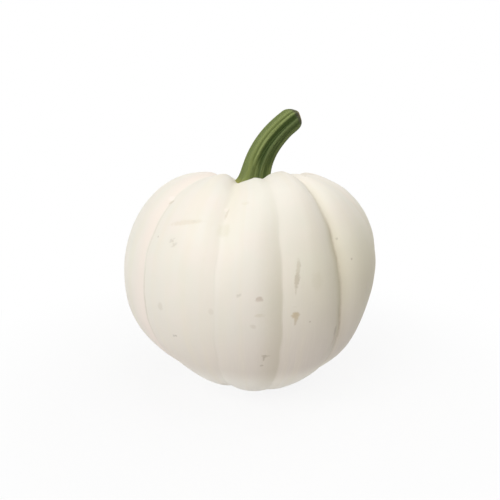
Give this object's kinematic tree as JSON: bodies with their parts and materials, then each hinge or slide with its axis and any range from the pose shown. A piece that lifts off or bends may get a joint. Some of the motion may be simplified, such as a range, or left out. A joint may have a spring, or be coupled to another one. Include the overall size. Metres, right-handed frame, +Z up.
{
  "type": "mini pumpkin",
  "caption": "Small round pale fruit with soft ribs, a shallow hollow at the crown and a short ridged green stem that bends to one side.",
  "frame": {"origin": "middle of the small flat spot that the fruit rests on", "axes": "+Z up through the fruit to the stem, -Y the front, +X the side the stem bends towards"},
  "size_m": [0.1002, 0.1002, 0.11],
  "materials": {
    "rind": "smooth waxy rind, creamy white, satin",
    "stem": "fresh green fibrous stem, ridged, matt"
  },
  "bodies": {
    "root": {"fruit": "rind", "stem": "stem"}
  },
  "joints": []
}
